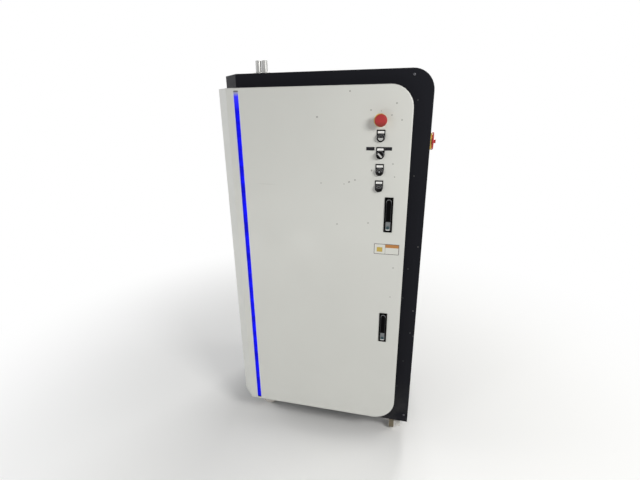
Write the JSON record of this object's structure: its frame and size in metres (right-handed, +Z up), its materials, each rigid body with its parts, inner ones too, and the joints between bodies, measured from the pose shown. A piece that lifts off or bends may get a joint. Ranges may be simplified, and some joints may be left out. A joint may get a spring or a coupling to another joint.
{
  "type": "laser machine control cabinet",
  "caption": "Rolling control cabinet of a laser cutting machine: dark sheet housing, bevelled white door with a light strip, push buttons, flush handles and casters.",
  "frame": {"origin": "on the floor, under the middle of the cabinet's bounding box", "axes": "+Z up, the door faces -Y, +X is to the right when facing the door"},
  "size_m": [0.8388, 0.688, 1.6723],
  "materials": {
    "white_paint": "white powder coat, satin",
    "dark_paint": "dark grey powder coat, fine texture",
    "black_plastic": "moulded black",
    "black_metal": "black powder coat",
    "grey_plastic": "moulded grey",
    "pale_plastic": "moulded light grey",
    "green_plastic": "moulded green",
    "zinc_plate": "galvanised",
    "bright_steel": "bare",
    "chrome": "plated",
    "silver_aluminium": "anodised",
    "sponge_rubber": "black sponge",
    "red_plastic": "moulded red",
    "yellow_plastic": "moulded yellow",
    "wheel_nylon": "pale moulded",
    "lit_blue": "lit diffuser"
  },
  "bodies": {
    "cabinet": {"front_frame": "dark_paint", "roof_and_right_panel": "dark_paint", "left_panel": "dark_paint", "back_panel": "dark_paint", "vent_grille": "black_plastic", "fan_housing": "black_plastic", "roof_sockets": "zinc_plate", "base_frame": "dark_paint", "gland_plate": "zinc_plate", "upper_hinge_frame_leaf": "black_metal", "middle_hinge_frame_leaf": "black_metal", "lower_hinge_frame_leaf": "black_metal", "mounting_plate": "zinc_plate", "wiring_ducts": "grey_plastic", "main_breaker": "pale_plastic", "contactors": "black_plastic", "power_supply": "bright_steel", "servo_drive": "pale_plastic", "motion_controller": "grey_plastic", "terminal_strip": "green_plastic", "laser_source": "pale_plastic", "main_switch_body": "black_plastic", "main_switch_plate": "yellow_plastic"},
    "door": {"door_panel": "white_paint", "door_stiffener": "white_paint", "door_gasket": "sponge_rubber", "led_channel": "silver_aluminium", "led_diffuser": "lit_blue", "upper_hinge_door_leaf": "black_metal", "middle_hinge_door_leaf": "black_metal", "lower_hinge_door_leaf": "black_metal", "emergency_stop_body": "yellow_plastic", "upper_button_body": "black_plastic", "middle_button_body": "black_plastic", "lower_button_body": "black_plastic", "key_switch_body": "black_plastic", "upper_handle_plate": "black_plastic", "lower_handle_plate": "black_plastic"},
    "emergency_stop": {"emergency_stop_head": "red_plastic"},
    "upper_button": {"upper_button_cap": "grey_plastic"},
    "middle_button": {"middle_button_cap": "grey_plastic"},
    "lower_button": {"lower_button_cap": "grey_plastic"},
    "key_switch": {"key_switch_rotor": "chrome"},
    "upper_lever": {"upper_handle_lever": "black_plastic"},
    "upper_lock": {"upper_handle_lock": "chrome"},
    "lower_lever": {"lower_handle_lever": "black_plastic"},
    "lower_lock": {"lower_handle_lock": "chrome"},
    "main_switch": {"main_switch_knob": "red_plastic"},
    "breaker_toggle": {"main_breaker_toggle": "black_plastic"},
    "fan": {"fan_rotor": "black_plastic"},
    "caster_front_left": {"caster_front_left_fork": "zinc_plate"},
    "wheel_front_left": {"caster_front_left_wheel": "wheel_nylon"},
    "brake_front_left": {"caster_front_left_brake": "zinc_plate"},
    "caster_front_right": {"caster_front_right_fork": "zinc_plate"},
    "wheel_front_right": {"caster_front_right_wheel": "wheel_nylon"},
    "brake_front_right": {"caster_front_right_brake": "zinc_plate"},
    "caster_rear_left": {"caster_rear_left_fork": "zinc_plate"},
    "wheel_rear_left": {"caster_rear_left_wheel": "wheel_nylon"},
    "caster_rear_right": {"caster_rear_right_fork": "zinc_plate"},
    "wheel_rear_right": {"caster_rear_right_wheel": "wheel_nylon"}
  },
  "joints": [
    {"name": "door_hinge", "type": "hinge", "parent": "cabinet", "child": "door", "pos_m": [-0.41262, -0.214, 0.14], "axis": [0, 0, -1], "range_deg": [0, 110]},
    {"name": "emergency_stop_push", "type": "slide", "parent": "door", "child": "emergency_stop", "axis": [0, 1, 0], "range_m": [0, 0.004]},
    {"name": "upper_button_push", "type": "slide", "parent": "door", "child": "upper_button", "axis": [0, 1, 0], "range_m": [0, 0.003], "stiffness_N_per_m": 600},
    {"name": "middle_button_push", "type": "slide", "parent": "door", "child": "middle_button", "axis": [0, 1, 0], "range_m": [0, 0.003], "stiffness_N_per_m": 600},
    {"name": "lower_button_push", "type": "slide", "parent": "door", "child": "lower_button", "axis": [0, 1, 0], "range_m": [0, 0.003], "stiffness_N_per_m": 600},
    {"name": "key_switch_turn", "type": "hinge", "parent": "door", "child": "key_switch", "pos_m": [0.22438, -0.3188, 1.3365], "axis": [0, 1, 0], "range_deg": [0, 90]},
    {"name": "upper_lever_lift", "type": "hinge", "parent": "door", "child": "upper_lever", "pos_m": [0.26438, -0.306, 1.1635], "axis": [-1, 0, 0], "range_deg": [0, 28]},
    {"name": "upper_lock_push", "type": "slide", "parent": "door", "child": "upper_lock", "axis": [0, 1, 0], "range_m": [0, 0.004], "stiffness_N_per_m": 600},
    {"name": "lower_lever_lift", "type": "hinge", "parent": "door", "child": "lower_lever", "pos_m": [0.26438, -0.306, 0.6735], "axis": [-1, 0, 0], "range_deg": [0, 28]},
    {"name": "lower_lock_push", "type": "slide", "parent": "door", "child": "lower_lock", "axis": [0, 1, 0], "range_m": [0, 0.004], "stiffness_N_per_m": 600},
    {"name": "main_switch_turn", "type": "hinge", "parent": "cabinet", "child": "main_switch", "pos_m": [0.39738, -0.174, 1.377], "axis": [1, 0, 0], "range_deg": [0, 90]},
    {"name": "main_breaker_throw", "type": "hinge", "parent": "cabinet", "child": "breaker_toggle", "pos_m": [-0.28362, 0.1199, 1.366], "axis": [-1, 0, 0], "range_deg": [0, 60]},
    {"name": "fan_spin", "type": "hinge", "parent": "cabinet", "child": "fan", "pos_m": [-0.00962, 0.3147, 1.43], "axis": [0, 1, 0], "continuous": true},
    {"name": "caster_front_left_swivel", "type": "hinge", "parent": "cabinet", "child": "caster_front_left", "pos_m": [-0.34462, -0.171, 0.0874], "axis": [0, 0, 1], "continuous": true},
    {"name": "caster_front_left_roll", "type": "hinge", "parent": "caster_front_left", "child": "wheel_front_left", "pos_m": [-0.32262, -0.171, 0.0375], "axis": [0, 1, 0], "continuous": true},
    {"name": "caster_front_left_brake_press", "type": "hinge", "parent": "caster_front_left", "child": "brake_front_left", "pos_m": [-0.32262, -0.171, 0.0375], "axis": [0, 1, 0], "range_deg": [-20, 0]},
    {"name": "caster_front_right_swivel", "type": "hinge", "parent": "cabinet", "child": "caster_front_right", "pos_m": [0.32538, -0.171, 0.0874], "axis": [0, 0, 1], "continuous": true},
    {"name": "caster_front_right_roll", "type": "hinge", "parent": "caster_front_right", "child": "wheel_front_right", "pos_m": [0.32538, -0.193, 0.0375], "axis": [1, 0, 0], "continuous": true},
    {"name": "caster_front_right_brake_press", "type": "hinge", "parent": "caster_front_right", "child": "brake_front_right", "pos_m": [0.32538, -0.193, 0.0375], "axis": [1, 0, 0], "range_deg": [-20, 0]},
    {"name": "caster_rear_left_swivel", "type": "hinge", "parent": "cabinet", "child": "caster_rear_left", "pos_m": [-0.34462, 0.243, 0.0874], "axis": [0, 0, 1], "continuous": true},
    {"name": "caster_rear_left_roll", "type": "hinge", "parent": "caster_rear_left", "child": "wheel_rear_left", "pos_m": [-0.34462, 0.265, 0.0375], "axis": [1, 0, 0], "continuous": true},
    {"name": "caster_rear_right_swivel", "type": "hinge", "parent": "cabinet", "child": "caster_rear_right", "pos_m": [0.32538, 0.243, 0.0874], "axis": [0, 0, 1], "continuous": true},
    {"name": "caster_rear_right_roll", "type": "hinge", "parent": "caster_rear_right", "child": "wheel_rear_right", "pos_m": [0.32538, 0.265, 0.0375], "axis": [1, 0, 0], "continuous": true}
  ]
}
